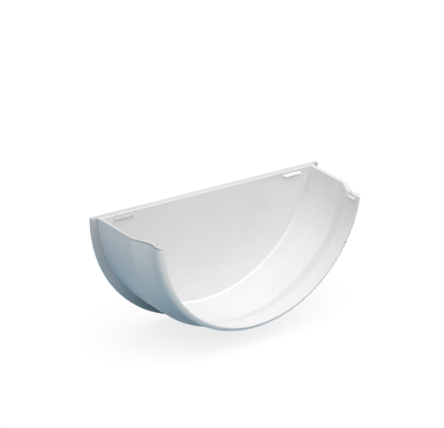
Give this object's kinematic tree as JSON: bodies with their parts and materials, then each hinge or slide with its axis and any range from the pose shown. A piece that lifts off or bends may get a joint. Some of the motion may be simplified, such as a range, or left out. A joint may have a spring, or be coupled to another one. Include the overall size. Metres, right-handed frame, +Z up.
{
  "type": "gutter end cap",
  "caption": "White plastic end cap for a half-round gutter: a stepped half-round socket closed by a flanged plate, with small nibs that hold the gutter's edges down.",
  "frame": {"origin": "on the gutter's axis, in the plane of the closing plate's inner face, a few millimetres above the cap's level top", "axes": "+X across the gutter, +Y along the gutter's axis out through the closing plate, so the open front looks along -Y, +Z up"},
  "size_m": [0.1322, 0.0442, 0.0619],
  "materials": {
    "white_plastic": "satin moulded white plastic"
  },
  "bodies": {
    "root": {"end_cap": "white_plastic"}
  },
  "joints": []
}
